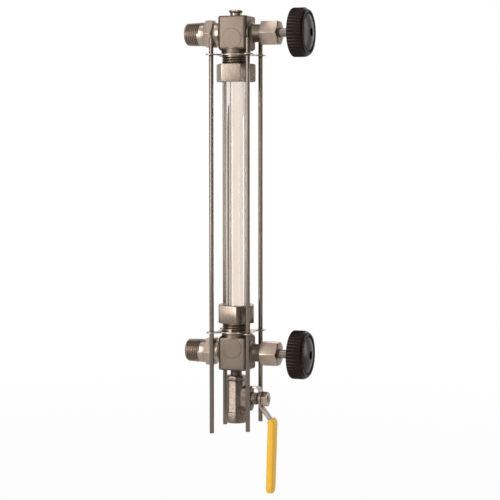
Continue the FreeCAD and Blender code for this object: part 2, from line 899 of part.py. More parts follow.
# Everything that both valves share
def build_valve(name, place, nut_turn):
    tip, tip_back = stem_tip()
    pieces = {
        "valve_body": valve_body(),
        "process_shank": process_shank(),
        "stem_tip": tip,
        "stem": stem(tip_back),
        "stem_packing": stem_packing(),
        "packing_bush": packing_bush(),
        "packing_nut": packing_nut(),
        "handwheel": handwheel(),
        "handwheel_insert": handwheel_insert(),
        "tube_gasket": tube_gasket(),
        "glass_packing": glass_packing(),
        "gland_follower": gland_follower(),
        "gland_nut": gland_nut(nut_turn),
        "guard_plate": guard_plate(),
    }
    for piece, shape in pieces.items():
        save(name + "_" + piece, place(shape))


def build_glass_and_rods():
    top = centre_distance - glass_end
    glass = turned_z([
        (glass_radius - glass_wall, glass_end), (glass_radius - edge_break, glass_end),
        (glass_radius, glass_end + edge_break), (glass_radius, top - edge_break),
        (glass_radius - edge_break, top), (glass_radius - glass_wall, top)])
    save("gauge_glass", lower_place(glass))
    for x_name, x in (("left", -rod_offset), ("right", rod_offset)):
        for y_name, y in (("front", -rod_offset), ("rear", rod_offset)):
            corner = y_name + "_" + x_name
            foot = -rod_below - rod_slip[corner]
            rod = rod_z(rod_diameter / 2, foot, centre_distance + rod_above, x, y)
            save("guard_rod_" + corner, lower_place(rod))


def build_drain():
    blade = lever()
    pieces = {
        "drain_end": drain_end(),
        "drain_body": drain_body(),
        "drain_upper_seat": ball_seat(upper_seat_back, -1),
        "drain_lower_seat": ball_seat(lower_seat_back, 1),
        "drain_ball": drain_ball(),
        "drain_stem": drain_stem(),
        "drain_stem_seal": stem_seal(),
        "drain_gland": drain_gland(),
        "drain_lever": blade,
        "drain_grip": lever_grip(blade),
        "drain_lever_nut": lever_nut(),
    }
    for node, shape in pieces.items():
        save(node, lower_place(shape))


os.makedirs("parts", exist_ok=True)
build_valve("lower", lower_place, lower_nut_turn)
build_valve("upper", upper_place, upper_nut_turn)
build_glass_and_rods()
build_drain()
save("vent_plug", upper_place(vent_plug()))
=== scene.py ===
import bpy
import json
import math
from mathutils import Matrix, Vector

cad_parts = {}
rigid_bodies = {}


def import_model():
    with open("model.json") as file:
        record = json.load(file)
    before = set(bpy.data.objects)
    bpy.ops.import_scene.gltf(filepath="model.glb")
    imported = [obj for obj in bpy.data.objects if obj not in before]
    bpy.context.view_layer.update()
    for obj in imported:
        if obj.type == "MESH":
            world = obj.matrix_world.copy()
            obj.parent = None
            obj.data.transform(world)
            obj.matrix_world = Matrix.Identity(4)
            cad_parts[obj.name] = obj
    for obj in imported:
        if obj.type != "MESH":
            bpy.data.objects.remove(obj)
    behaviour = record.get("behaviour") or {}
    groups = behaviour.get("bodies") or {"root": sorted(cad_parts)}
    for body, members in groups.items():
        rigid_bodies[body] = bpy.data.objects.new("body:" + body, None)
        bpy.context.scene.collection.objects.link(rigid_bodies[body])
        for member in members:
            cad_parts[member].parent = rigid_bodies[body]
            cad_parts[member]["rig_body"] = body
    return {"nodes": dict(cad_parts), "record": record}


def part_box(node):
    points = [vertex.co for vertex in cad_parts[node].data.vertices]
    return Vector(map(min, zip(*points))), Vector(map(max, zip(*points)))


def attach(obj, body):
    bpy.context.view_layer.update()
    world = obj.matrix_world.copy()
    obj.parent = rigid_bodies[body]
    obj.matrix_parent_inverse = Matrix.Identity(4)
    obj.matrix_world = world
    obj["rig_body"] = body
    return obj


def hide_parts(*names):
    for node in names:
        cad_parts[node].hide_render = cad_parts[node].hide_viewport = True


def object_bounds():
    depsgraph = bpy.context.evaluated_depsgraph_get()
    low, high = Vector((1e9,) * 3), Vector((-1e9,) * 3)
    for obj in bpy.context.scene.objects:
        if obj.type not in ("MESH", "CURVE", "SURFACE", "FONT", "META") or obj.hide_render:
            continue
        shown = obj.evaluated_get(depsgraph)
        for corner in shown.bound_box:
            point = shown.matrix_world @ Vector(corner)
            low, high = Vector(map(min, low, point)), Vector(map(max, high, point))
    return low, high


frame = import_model()
nodes = frame["nodes"]
cadBox = [list(corner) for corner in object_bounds()]
print("frame loaded:", len(nodes), "nodes")

mm = 0.001
tubeX = sum(corner.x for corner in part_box("gauge_glass")) / 2   # line of the glass
lowerZ = 0.0                                                     # lower valve's stem axis
upperZ = frame["record"]["mounts"][1]["pos_m"][2]                # upper valve's stem axis


# Camera at the photograph's viewing angle

cameraSettings = {
    "azimuth": 20.07,          # degrees round from straight in front
    "pitch": 3.98,             # degrees looking down
    "roll": -0.05,
    "distance": 1.4976,
    "focalPixels": 1663.4,
    "targetZ": 0.0923,
    "leftShift": 13.8,         # pixels that the glass stands left of the middle
    "imagePixels": 500,
    "sensorWidth": 36,
    "clipEnd": 20,
}


def viewDirection():
    turn = math.radians(cameraSettings["azimuth"])
    tilt = math.radians(cameraSettings["pitch"])
    return Vector((
        -math.sin(turn) * math.cos(tilt), math.cos(turn) * math.cos(tilt), -math.sin(tilt)))


def addCamera():
    forward = viewDirection()
    data = bpy.data.cameras.new("photoCamera")
    camera = bpy.data.objects.new("photoCamera", data)
    bpy.context.scene.collection.objects.link(camera)
    target = Vector((tubeX, 0, cameraSettings["targetZ"]))
    camera.location = target - forward * cameraSettings["distance"]
    camera.rotation_euler = forward.to_track_quat("-Z", "Y").to_euler()
    camera.rotation_euler.rotate_axis("Z", math.radians(cameraSettings["roll"]))
    pixels = cameraSettings["imagePixels"]
    data.sensor_fit = "HORIZONTAL"
    data.sensor_width = cameraSettings["sensorWidth"]
    data.lens = cameraSettings["focalPixels"] / pixels * data.sensor_width
    data.shift_x = cameraSettings["leftShift"] / pixels
    data.clip_end = cameraSettings["clipEnd"]
    bpy.context.scene.camera = camera


addCamera()
print("camera set")


# Shader helpers

nodeOptions = ("operation", "blend_type", "data_type", "interpolation_type")


def addNode(tree, kind, **values):
    node = tree.nodes.new("ShaderNode" + kind)
    for name, value in values.items():
        if name in nodeOptions:
            setattr(node, name, value)
        else:
            node.inputs[name.replace("_", " ")].default_value = value
    return node


def placeGroup(tree, group, **values):
    node = tree.nodes.new("ShaderNodeGroup")
    node.node_tree = group
    for name, value in values.items():
        node.inputs[name.replace("_", " ")].default_value = value
    return node


def mixColour(tree, factor, first, second, blend="MIX"):
    mix = addNode(tree, "Mix", data_type="RGBA", blend_type=blend)
    for socket, value in (("A", first), ("B", second)):
        if isinstance(value, (tuple, list)):
            mix.inputs[socket].default_value = (*value, 1)
        else:
            tree.links.new(value, mix.inputs[socket])
    if isinstance(factor, float):
        mix.inputs["Factor"].default_value = factor
    else:
        tree.links.new(factor, mix.inputs["Factor"])
    return mix.outputs["Result"]


def remap(tree, value, span, result):
    node = addNode(
        tree, "MapRange", From_Min=span[0], From_Max=span[1], To_Min=result[0], To_Max=result[1])
    tree.links.new(value, node.inputs["Value"])
    return node.outputs["Result"]


# Studio: pale floor, white surroundings and soft lamps

studioSettings = {
    "floorGap": 0.02,
    "floorSize": 2.8,
    "floorWhite": 0.86,
    "shadowShare": 0.045,      # part of the floor's tone that takes shadows, near the object
    "shadowReach": (0.15, 1.2),
    "lampDrop": 0.03,          # lamps aim this far below the middle between the valves
    "roomTurn": -30.0,         # bright side of the room, degrees round from the camera
    "roomTint": (1.0, 0.955, 0.915),
    # place from straight behind the object (0) to in front of it (1), level
    "behindRamp": [(0.0, 0.97), (0.035, 0.95), (0.1, 0.0), (1.0, 0.0)],
    # place from the dim side of the room (0) to its bright side (1), level
    "frontRamp": [
        (0.0, 0.55), (0.12, 0.45), (0.3, 0.26), (0.46, 0.12), (0.6, 0.1), (0.76, 0.36),
        (0.88, 0.84), (1.0, 0.98)],
    # place from straight down (0) to straight up (1), level
    "heightRamp": [(0.0, 0.45), (0.3, 0.5), (0.44, 1.0), (1.0, 1.05)],
}
lampSettings = [
    # name, degrees round from the camera (left is minus), height, distance, width, tall, watts
    ("keyLamp", -50, 8, 1.5, 0.5, 1.3, 10.5),
    ("fillLamp", 112, 8, 1.5, 0.4, 1.2, 5.0),
    ("stripLamp", 76, 10, 1.5, 0.07, 1.2, 1.6),
    ("topLamp", -10, 78, 1.3, 0.9, 0.5, 3.0),
    ("rearLamp", 165, 30, 1.6, 0.8, 0.8, 3.0),
]


def addLamps():
    middle = Vector((tubeX, 0, (lowerZ + upperZ) / 2 - studioSettings["lampDrop"]))
    for name, turn, height, distance, width, tall, watts in lampSettings:
        data = bpy.data.lights.new(name, "AREA")
        data.shape = "RECTANGLE"
        data.size = width
        data.size_y = tall
        data.energy = watts
        lamp = bpy.data.objects.new(name, data)
        bpy.context.scene.collection.objects.link(lamp)
        around = math.radians(cameraSettings["azimuth"] + turn)
        rise = math.radians(height)
        outward = Vector((
            math.sin(around) * math.cos(rise), -math.cos(around) * math.cos(rise), math.sin(rise)))
        lamp.location = middle + outward * distance
        lamp.rotation_euler = outward.to_track_quat("Z", "Y").to_euler()


def levelRamp(tree, value, stops):
    spread = addNode(tree, "MapRange", From_Min=-1.0)
    ramp = addNode(tree, "ValToRGB")
    while len(ramp.color_ramp.elements) < len(stops):
        ramp.color_ramp.elements.new(0.5)
    for element, (place, level) in zip(ramp.color_ramp.elements, stops):
        element.position = place
        element.color = (level, level, level, 1)
    tree.links.new(value, spread.inputs["Value"])
    tree.links.new(spread.outputs["Result"], ramp.inputs["Fac"])
    return ramp.outputs["Color"]


# Bright on one side in front, dim opposite, white straight behind, and white to the camera
def addWorld():
    world = bpy.data.worlds.new("studioRoom")
    bpy.context.scene.world = world
    world.use_nodes = True
    tree = world.node_tree
    tree.nodes.clear()
    forward = viewDirection()
    turn = math.radians(cameraSettings["azimuth"] + studioSettings["roomTurn"])
    direction = addNode(tree, "TexCoord")
    towards = addNode(tree, "VectorMath", operation="DOT_PRODUCT")
    towards.inputs[1].default_value = (-forward.x, -forward.y, 0)
    brightest = addNode(tree, "VectorMath", operation="DOT_PRODUCT")
    brightest.inputs[1].default_value = (math.sin(turn), -math.cos(turn), 0)
    split = addNode(tree, "SeparateXYZ")
    link = tree.links.new
    for socket in (towards.inputs[0], brightest.inputs[0], split.inputs["Vector"]):
        link(direction.outputs["Generated"], socket)
    front = levelRamp(tree, brightest.outputs["Value"], studioSettings["frontRamp"])
    height = levelRamp(tree, split.outputs["Z"], studioSettings["heightRamp"])
    behind = levelRamp(tree, towards.outputs["Value"], studioSettings["behindRamp"])
    room = mixColour(tree, 1.0, front, height, "MULTIPLY")
    room = mixColour(tree, 1.0, room, behind, "LIGHTEN")
    room = mixColour(tree, 1.0, room, studioSettings["roomTint"], "MULTIPLY")
    path = addNode(tree, "LightPath")
    room = mixColour(tree, path.outputs["Is Camera Ray"], room, (1.0, 1.0, 1.0))
    background = addNode(tree, "Background")
    output = addNode(tree, "OutputWorld")
    link(room, background.inputs["Color"])
    link(background.outputs["Background"], output.inputs["Surface"])


# Nearly white to the camera and through the glass, and fully white away from the object
def addFloor():
    bpy.ops.mesh.primitive_plane_add(size=studioSettings["floorSize"])
    floor = bpy.context.active_object
    floor.name = "studioFloor"
    floor.location = (tubeX, 0, cadBox[0][2] - studioSettings["floorGap"])
    material = bpy.data.materials.new("paleFloor")
    material.use_nodes = True
    tree = material.node_tree
    tree.nodes.clear()
    near, far = studioSettings["shadowReach"]
    matt = addNode(tree, "BsdfDiffuse", Color=(studioSettings["floorWhite"],) * 3 + (1,))
    glow = addNode(tree, "Emission")
    path = addNode(tree, "LightPath")
    seen = addNode(tree, "Math", operation="MAXIMUM")
    place = addNode(tree, "TexCoord")
    away = addNode(tree, "VectorMath", operation="LENGTH")
    fade = addNode(
        tree, "MapRange", interpolation_type="SMOOTHSTEP", From_Min=near, From_Max=far,
        To_Min=1 - studioSettings["shadowShare"])
    share = addNode(tree, "Math", operation="MULTIPLY")
    mix = addNode(tree, "MixShader")
    output = addNode(tree, "OutputMaterial")
    link = tree.links.new
    link(path.outputs["Is Camera Ray"], seen.inputs[0])
    link(path.outputs["Is Transmission Ray"], seen.inputs[1])
    link(place.outputs["Object"], away.inputs[0])
    link(away.outputs["Value"], fade.inputs["Value"])
    link(seen.outputs["Value"], share.inputs[0])
    link(fade.outputs["Result"], share.inputs[1])
    link(share.outputs["Value"], mix.inputs["Fac"])
    link(matt.outputs["BSDF"], mix.inputs[1])
    link(glow.outputs["Emission"], mix.inputs[2])
    link(mix.outputs["Shader"], output.inputs["Surface"])
    floor.data.materials.append(material)


addLamps()
addWorld()
addFloor()
bpy.context.scene.view_settings.view_transform = "Standard"
print("studio set")


# Shared effects: grain, rubbed and painted dark edges, tool lines and painted shade in corners

effectSamples = 6


def newGroup(name, inputs, outputs):
    group = bpy.data.node_groups.new(name, "ShaderNodeTree")
    for socketName, kind, value in inputs:
        socket = group.interface.new_socket(
            socketName, in_out="INPUT", socket_type="NodeSocket" + kind)
        socket.default_value = value
    for socketName, kind in outputs:
        group.interface.new_socket(
            socketName, in_out="OUTPUT", socket_type="NodeSocket" + kind)
    return group, group.nodes.new("NodeGroupInput"), group.nodes.new("NodeGroupOutput")


# What a value lacks to 1, made stronger and kept below 1
def boostedRest(group, value, strength):
    rest = addNode(group, "Math", operation="SUBTRACT")
    rest.inputs[0].default_value = 1.0
    boost = addNode(group, "Math", operation="MULTIPLY")
    boost.use_clamp = True
    group.links.new(value, rest.inputs[1])
    group.links.new(rest.outputs["Value"], boost.inputs[0])
    group.links.new(strength, boost.inputs[1])
    return boost.outputs["Value"]


# Cloudy patches and fine grain, both around the middle of 0 to 1
def buildGrainGroup():
    group, enter, leave = newGroup(
        "metalGrain",
        [("Cloud Scale", "Float", 60.0), ("Grain Scale", "Float", 1500.0),
         ("Grain Share", "Float", 0.4)],
        [("Cloud", "Float"), ("Height", "Float")])
    place = addNode(group, "TexCoord")
    cloud = addNode(group, "TexNoise", Detail=3.0, Roughness=0.55, Distortion=0.4)
    grain = addNode(group, "TexNoise", Detail=2.0, Roughness=0.7)
    mix = addNode(group, "Mix", data_type="FLOAT")
    link = group.links.new
    link(place.outputs["Object"], cloud.inputs["Vector"])
    link(place.outputs["Object"], grain.inputs["Vector"])
    link(enter.outputs["Cloud Scale"], cloud.inputs["Scale"])
    link(enter.outputs["Grain Scale"], grain.inputs["Scale"])
    link(enter.outputs["Grain Share"], mix.inputs["Factor"])
    link(cloud.outputs["Fac"], mix.inputs["A"])
    link(grain.outputs["Fac"], mix.inputs["B"])
    link(cloud.outputs["Fac"], leave.inputs["Cloud"])
    link(mix.outputs["Result"], leave.inputs["Height"])
    return group


# Edges, found where a rounded normal leaves the true one: lighter edge tones are rubbed wear,
# darker ones painted shade
def buildEdgeGroup():
    group, enter, leave = newGroup(
        "edgeRubAndShade",
        [("Radius", "Float", 0.0005), ("Strength", "Float", 3.0)],
        [("Edge", "Float"), ("Normal", "Vector")])
    rounded = addNode(group, "Bevel")
    rounded.samples = effectSamples
    true = addNode(group, "NewGeometry")
    dot = addNode(group, "VectorMath", operation="DOT_PRODUCT")
    link = group.links.new
    link(enter.outputs["Radius"], rounded.inputs["Radius"])
    link(rounded.outputs["Normal"], dot.inputs[0])
    link(true.outputs["Normal"], dot.inputs[1])
    edge = boostedRest(group, dot.outputs["Value"], enter.outputs["Strength"])
    link(edge, leave.inputs["Edge"])
    link(rounded.outputs["Normal"], leave.inputs["Normal"])
    return group


# Fine lines left by a tool, a die or a polishing belt, along the least stretched axis
def buildToolGroup():
    group, enter, leave = newGroup(
        "toolLines",
        [("Stretch", "Vector", (1.0, 1.0, 1.0)), ("Scale", "Float", 900.0)],
        [("Lines", "Float")])
    place = addNode(group, "TexCoord")
    stretch = addNode(group, "Mapping")
    lines = addNode(group, "TexNoise", Detail=2.0, Roughness=0.6)
    link = group.links.new
    link(place.outputs["Object"], stretch.inputs["Vector"])
    link(enter.outputs["Stretch"], stretch.inputs["Scale"])
    link(stretch.outputs["Vector"], lines.inputs["Vector"])
    link(enter.outputs["Scale"], lines.inputs["Scale"])
    link(lines.outputs["Fac"], leave.inputs["Lines"])
    return group


# Painted shade: darker in corners and recesses, found by ambient occlusion
def buildCornerShadeGroup():
    group, enter, leave = newGroup(
        "cornerPaintedShade",
        [("Reach", "Float", 0.003), ("Strength", "Float", 1.0)],
        [("PaintedShade", "Float")])
    shade = addNode(group, "AmbientOcclusion")
    shade.samples = effectSamples
    group.links.new(enter.outputs["Reach"], shade.inputs["Distance"])
    dirt = boostedRest(group, shade.outputs["AO"], enter.outputs["Strength"])
    group.links.new(dirt, leave.inputs["PaintedShade"])
    return group


grainGroup = buildGrainGroup()
edgeGroup = buildEdgeGroup()
toolGroup = buildToolGroup()
cornerShadeGroup = buildCornerShadeGroup()


# Materials

noiseSpan = (0.35, 0.65)       # where nearly all of a noise texture's values lie
heightSpan = (0.3, 0.7)


# Cloudy colour and uneven roughness, which metals and plastics start from
def startSurface(name, settings):
    material = bpy.data.materials.new(name)
    material.use_nodes = True
    tree = material.node_tree
    shader = tree.nodes["Principled BSDF"]
    grain = placeGroup(
        tree, grainGroup, Cloud_Scale=settings["cloudScale"], Grain_Scale=settings["grainScale"],
        Grain_Share=settings["grainShare"])
    clouds = remap(tree, grain.outputs["Cloud"], noiseSpan, (0.0, 1.0))
    colour = mixColour(tree, clouds, settings["darkTone"], settings["baseTone"])
    middle, vary = settings["roughness"], settings["roughVary"]
    roughness = remap(tree, grain.outputs["Height"], heightSpan, (middle - vary, middle + vary))
    tree.links.new(roughness, shader.inputs["Roughness"])
    return material, tree, shader, grain.outputs["Height"], colour


# Rubbed edges and painted dark edges, painted shade in corners, and relief, which they end with
def finishSurface(tree, shader, settings, colour, height):
    edge = placeGroup(
        tree, edgeGroup, Radius=settings["edgeRadius"], Strength=settings["edgeStrength"])
    # the corner mask paints shade, darker in corners and recesses
    corner = placeGroup(
        tree, cornerShadeGroup, Reach=settings["paintedShadeReach"], Strength=settings["dirtStrength"])
    colour = mixColour(tree, edge.outputs["Edge"], colour, settings["edgeTone"])
    colour = mixColour(tree, corner.outputs["PaintedShade"], colour, settings["dirtTone"])
    bump = addNode(
        tree, "Bump", Strength=settings["bumpStrength"], Distance=settings["bumpDepth"])
    tree.links.new(colour, shader.inputs["Base Color"])
    tree.links.new(height, bump.inputs["Height"])
    tree.links.new(edge.outputs["Normal"], bump.inputs["Normal"])
    tree.links.new(bump.outputs["Normal"], shader.inputs["Normal"])


# the dark corner tone in these settings is painted shade for corners and recesses
metalBase = {
    "cloudScale": 90.0, "grainScale": 1800.0, "grainShare": 0.4,
    "edgeRadius": 0.0004, "edgeStrength": 1.6, "paintedShadeReach": 0.0022, "dirtStrength": 0.9,
    "lineStretch": (1.0, 1.0, 1.0), "lineScale": 900.0, "lineTone": 0.25, "lineShare": 0.5,
    "darkTone": (0.36, 0.288, 0.232), "baseTone": (0.43, 0.35, 0.285),
    "lineColour": (0.48, 0.395, 0.325), "edgeTone": (0.72, 0.62, 0.52),
    "dirtTone": (0.05, 0.036, 0.028), "metallic": 0.96, "roughness": 0.38, "roughVary": 0.06,
    "bumpStrength": 0.22, "bumpDepth": 0.0002,
}


# Metal, with lines from its tool or with cast grain
def metal(name, **changes):
    settings = {**metalBase, **changes}
    material, tree, shader, grain, colour = startSurface(name, settings)
    lines = placeGroup(
        tree, toolGroup, Stretch=settings["lineStretch"], Scale=settings["lineScale"])
    streaks = remap(tree, lines.outputs["Lines"], noiseSpan, (0.0, settings["lineTone"]))
    colour = mixColour(tree, streaks, colour, settings["lineColour"])
    shader.inputs["Metallic"].default_value = settings["metallic"]
    relief = addNode(tree, "Mix", data_type="FLOAT", Factor=settings["lineShare"])
    tree.links.new(grain, relief.inputs["A"])
    tree.links.new(lines.outputs["Lines"], relief.inputs["B"])
    finishSurface(tree, shader, settings, colour, relief.outputs["Result"])
    return material


# the dark edge tone of cast bronze is painted shade along its edges
castBronze = metal(
    "castBronze", baseTone=(0.194, 0.155, 0.125), darkTone=(0.156, 0.122, 0.097),
    edgeTone=(0.105, 0.08, 0.061), roughness=0.42, lineTone=0.0, lineShare=0.0,
    grainScale=1300.0, grainShare=0.6, bumpStrength=0.35, bumpDepth=0.00025)
turnedBronze = metal(
    "turnedBronze", baseTone=(0.62, 0.508, 0.424), darkTone=(0.53, 0.43, 0.355),
    roughness=0.31, lineStretch=(3.0, 0.3, 0.3), lineTone=0.3)
# the dark edge tone of nut bronze is painted shade along its edges
nutBronze = metal(
    "nutBronze", baseTone=(0.268, 0.216, 0.176), darkTone=(0.22, 0.175, 0.142),
    edgeTone=(0.2, 0.158, 0.127), roughness=0.27, lineStretch=(3.0, 3.0, 0.12), lineTone=0.4,
    cloudScale=50.0)
threadBronze = metal(
    "threadBronze", baseTone=(0.42, 0.335, 0.268), darkTone=(0.3, 0.235, 0.186),
    edgeTone=(0.5, 0.41, 0.335), roughness=0.3, lineStretch=(3.0, 0.3, 0.3))
rodSteel = metal(
    "rodSteel", baseTone=(0.28, 0.233, 0.196), darkTone=(0.24, 0.198, 0.166), roughness=0.22,
    lineStretch=(1.2, 1.2, 0.02), lineTone=0.05, lineShare=1.0, bumpStrength=0.005,
    cloudScale=30.0, edgeStrength=0.2)
plateSteel = metal(
    "plateSteel", baseTone=(0.58, 0.5, 0.43), darkTone=(0.45, 0.38, 0.325), roughness=0.3)
stemSteel = metal(
    "stemSteel", baseTone=(0.31, 0.262, 0.227), darkTone=(0.255, 0.216, 0.185),
    roughness=0.14, lineStretch=(3.0, 0.2, 0.2), lineTone=0.2, bumpStrength=0.1)
insertBrass = metal(
    "insertBrass", baseTone=(0.34, 0.22, 0.14), darkTone=(0.2, 0.125, 0.08), roughness=0.4)
# the dark edge tone of drain brass is painted shade along its edges
drainBrass = metal(
    "drainBrass", baseTone=(0.265, 0.218, 0.178), darkTone=(0.12, 0.096, 0.077),
    edgeTone=(0.1, 0.078, 0.062), roughness=0.36, cloudScale=300.0, bumpStrength=0.4,
    bumpDepth=0.00025)
# a near-black bronze painted as the shade inside the lower valve's port
paintedPortShade = metal(
    "paintedPortShade", baseTone=(0.07, 0.046, 0.036), darkTone=(0.045, 0.03, 0.024),
    edgeTone=(0.14, 0.1, 0.08), roughness=0.5)
leverSteel = metal(
    "leverSteel", baseTone=(0.52, 0.45, 0.395), darkTone=(0.42, 0.36, 0.31), roughness=0.32,
    lineStretch=(0.3, 0.3, 3.0))
ballChrome = metal(
    "ballChrome", baseTone=(0.72, 0.71, 0.7), darkTone=(0.62, 0.61, 0.6), roughness=0.08,
    bumpStrength=0.03)

# the dark corner tone in these settings is painted shade for corners and recesses
plasticBase = {
    "cloudScale": 70.0, "grainScale": 2200.0, "grainShare": 0.6,
    "edgeRadius": 0.0003, "edgeStrength": 1.5, "paintedShadeReach": 0.002, "dirtStrength": 0.5,
    "darkTone": (0.012, 0.009, 0.008), "baseTone": (0.02, 0.014, 0.013),
    "edgeTone": (0.05, 0.04, 0.036), "dirtTone": (0.005, 0.004, 0.003),
    "specular": 0.5, "specularTint": (1.0, 1.0, 1.0), "roughness": 0.35, "roughVary": 0.05,
    "bumpStrength": 0.15, "bumpDepth": 0.00015,
}


# Plastic, vinyl and rubber: a plain colour broken by grain, rub and painted shade in corners
def plastic(name, **changes):
    settings = {**plasticBase, **changes}
    material, tree, shader, grain, colour = startSurface(name, settings)
    shader.inputs["Specular IOR Level"].default_value = settings["specular"]
    shader.inputs["Specular Tint"].default_value = (*settings["specularTint"], 1)
    finishSurface(tree, shader, settings, colour, grain)
    return material


knobPlastic = plastic(
    "knobPlastic", baseTone=(0.011, 0.006, 0.005), darkTone=(0.008, 0.0045, 0.004),
    edgeTone=(0.012, 0.0075, 0.006), roughness=0.24, specular=0.2,
    specularTint=(1.0, 0.8, 0.7))
# the corner tone of the grip is painted shade
gripVinyl = plastic(
    "gripVinyl", baseTone=(0.99, 0.58, 0.045), darkTone=(0.97, 0.54, 0.04),
    edgeTone=(0.97, 0.6, 0.1), dirtTone=(0.5, 0.2, 0.02), roughness=0.38, dirtStrength=0.2)
sealRubber = plastic("sealRubber", baseTone=(0.025, 0.022, 0.02), roughness=0.6)
braidedPacking = plastic(
    "braidedPacking", baseTone=(0.06, 0.055, 0.05), roughness=0.75, grainScale=900.0,
    bumpStrength=0.6)
# the corner tone of the seat is painted shade
seatPlastic = plastic(
    "seatPlastic", baseTone=(0.82, 0.81, 0.78), darkTone=(0.74, 0.73, 0.7),
    edgeTone=(0.88, 0.87, 0.85), dirtTone=(0.4, 0.38, 0.35), roughness=0.4)

glassFinish = {
    "ior": 1.47, "specularTint": (1.0, 0.88, 0.79),
    "cloudScale": 45.0, "grainScale": 700.0, "grainShare": 0.3,
    "darkTone": (0.92, 0.868, 0.825), "baseTone": (0.955, 0.912, 0.875),
    "hazeSpan": (0.4, 0.8), "haze": 0.006,
}


# Clear tube glass, uneven in tint and with a very faint haze
def makeGlass():
    material = bpy.data.materials.new("tubeGlass")
    material.use_nodes = True
    tree = material.node_tree
    shader = tree.nodes["Principled BSDF"]
    shader.inputs["Transmission Weight"].default_value = 1.0
    shader.inputs["IOR"].default_value = glassFinish["ior"]
    shader.inputs["Specular Tint"].default_value = (*glassFinish["specularTint"], 1)
    grain = placeGroup(
        tree, grainGroup, Cloud_Scale=glassFinish["cloudScale"],
        Grain_Scale=glassFinish["grainScale"], Grain_Share=glassFinish["grainShare"])
    tint = mixColour(
        tree, grain.outputs["Cloud"], glassFinish["darkTone"], glassFinish["baseTone"])
    haze = remap(
        tree, grain.outputs["Height"], glassFinish["hazeSpan"], (0.0, glassFinish["haze"]))
    tree.links.new(tint, shader.inputs["Base Color"])
    tree.links.new(haze, shader.inputs["Roughness"])
    return material


tubeGlass = makeGlass()
print("materials made:", len(bpy.data.materials))

slotOf = {row["node"]: row["material_slot"] for row in frame["record"]["subparts"]}
finishOf = {
    "cast_bronze": castBronze, "machined_bronze": turnedBronze, "stem_steel": stemSteel,
    "rod_steel": rodSteel, "plate_steel": plateSteel, "gauge_glass": tubeGlass,
    "seal_rubber": sealRubber, "stem_packing": braidedPacking, "seat_ptfe": seatPlastic,
    "knob_plastic": knobPlastic, "insert_brass": insertBrass, "drain_brass": drainBrass,
    "ball_chrome": ballChrome, "lever_steel": leverSteel, "grip_vinyl": gripVinyl,
}


# Modelling helpers

copySettings = {
    "weld": 0.002 * mm,        # corners nearer than this become one
    "flat": 0.6,               # degrees between faces that lie in one plane
    "bevel": 0.25 * mm,
    "bevelSegments": 2,
    "sharp": 28,               # degrees from which an edge is rounded
    "smooth": 32,              # degrees up to which faces are shaded as one
}


def deselectAll():
    if bpy.context.object and bpy.context.object.mode != "OBJECT":
        bpy.ops.object.mode_set(mode="OBJECT")
    for item in bpy.context.selected_objects:
        item.select_set(False)


def makeActive(piece):
    deselectAll()
    piece.select_set(True)
    bpy.context.view_layer.objects.active = piece


def applyModifiers(piece):
    makeActive(piece)
    for modifier in list(piece.modifiers):
        bpy.ops.object.modifier_apply(modifier=modifier.name)


def smoothPiece(piece, angle):
    makeActive(piece)
    bpy.ops.object.shade_smooth_by_angle(angle=math.radians(angle))


def setMaterial(item, material):
    item.data.materials.clear()
    item.data.materials.append(material)
    for face in item.data.polygons:
        face.material_index = 0


# A finished piece takes the place of the CAD node that it was made from
def finishPiece(piece, nodeName, material):
    setMaterial(piece, material)
    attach(piece, nodes[nodeName]["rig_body"])
    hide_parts(nodeName)


# A joined copy of a CAD node, so that its edges can be rounded and its curves shaded
def joinedCopy(nodeName):
    name = nodeName + "_finished"
    piece = bpy.data.objects.new(name, nodes[nodeName].data.copy())
    bpy.context.scene.collection.objects.link(piece)
    makeActive(piece)
    bpy.ops.mesh.customdata_custom_splitnormals_clear()
    bpy.ops.object.mode_set(mode="EDIT")
    bpy.ops.mesh.select_all(action="SELECT")
    bpy.ops.mesh.remove_doubles(threshold=copySettings["weld"])
    bpy.ops.mesh.dissolve_limited(angle_limit=math.radians(copySettings["flat"]))
    bpy.ops.object.mode_set(mode="OBJECT")
    return piece


def roundedCopy(nodeName, material):
    piece = joinedCopy(nodeName)
    soften = piece.modifiers.new("soften", "BEVEL")
    soften.width = copySettings["bevel"]
    soften.segments = copySettings["bevelSegments"]
    soften.limit_method = "ANGLE"
    soften.angle_limit = math.radians(copySettings["sharp"])
    soften.miter_outer = "MITER_ARC"
    applyModifiers(piece)
    smoothPiece(piece, copySettings["smooth"])
    finishPiece(piece, nodeName, material)
    return piece


# Pieces that keep their CAD shape

# inner pieces, which only take their material
hiddenNodes = (
    "stem_tip", "stem_packing", "packing_bush", "tube_gasket", "glass_packing",
    "gland_follower", "drain_upper_seat", "drain_lower_seat", "drain_ball", "drain_stem_seal")
# pieces with a function or a material of their own
ownCode = ("process_shank", "valve_body", "gland_nut", "drain_end", "gauge_glass")

for name, node in nodes.items():
    setMaterial(node, finishOf[slotOf[name]])
for name in list(nodes):
    if not name.endswith(hiddenNodes + ownCode):
        roundedCopy(name, finishOf[slotOf[name]])
for side in ("lower", "upper"):
    roundedCopy(side + "_gland_nut", nutBronze)
print("plain pieces finished")


# Drain end: brass collar, and a neck painted dark as shade where it sits inside the lower valve's
# port

drainEndSettings = {"neckBottom": -21.2 * mm}


def drainEnd():
    piece = roundedCopy("drain_end", drainBrass)
    piece.data.materials.append(paintedPortShade)
    for face in piece.data.polygons:
        if face.center.z > drainEndSettings["neckBottom"]:
            face.material_index = 1


drainEnd()
print("drain end finished")


# Glass tube, drawn and cut, with its rims melted round

glassSettings = {
    "sides": 192,
    "wall": 2.8 * mm,
    "rim": 0.5 * mm,
    "rimSegments": 3,
    "rimAngle": 60,
    "smooth": 35,
}


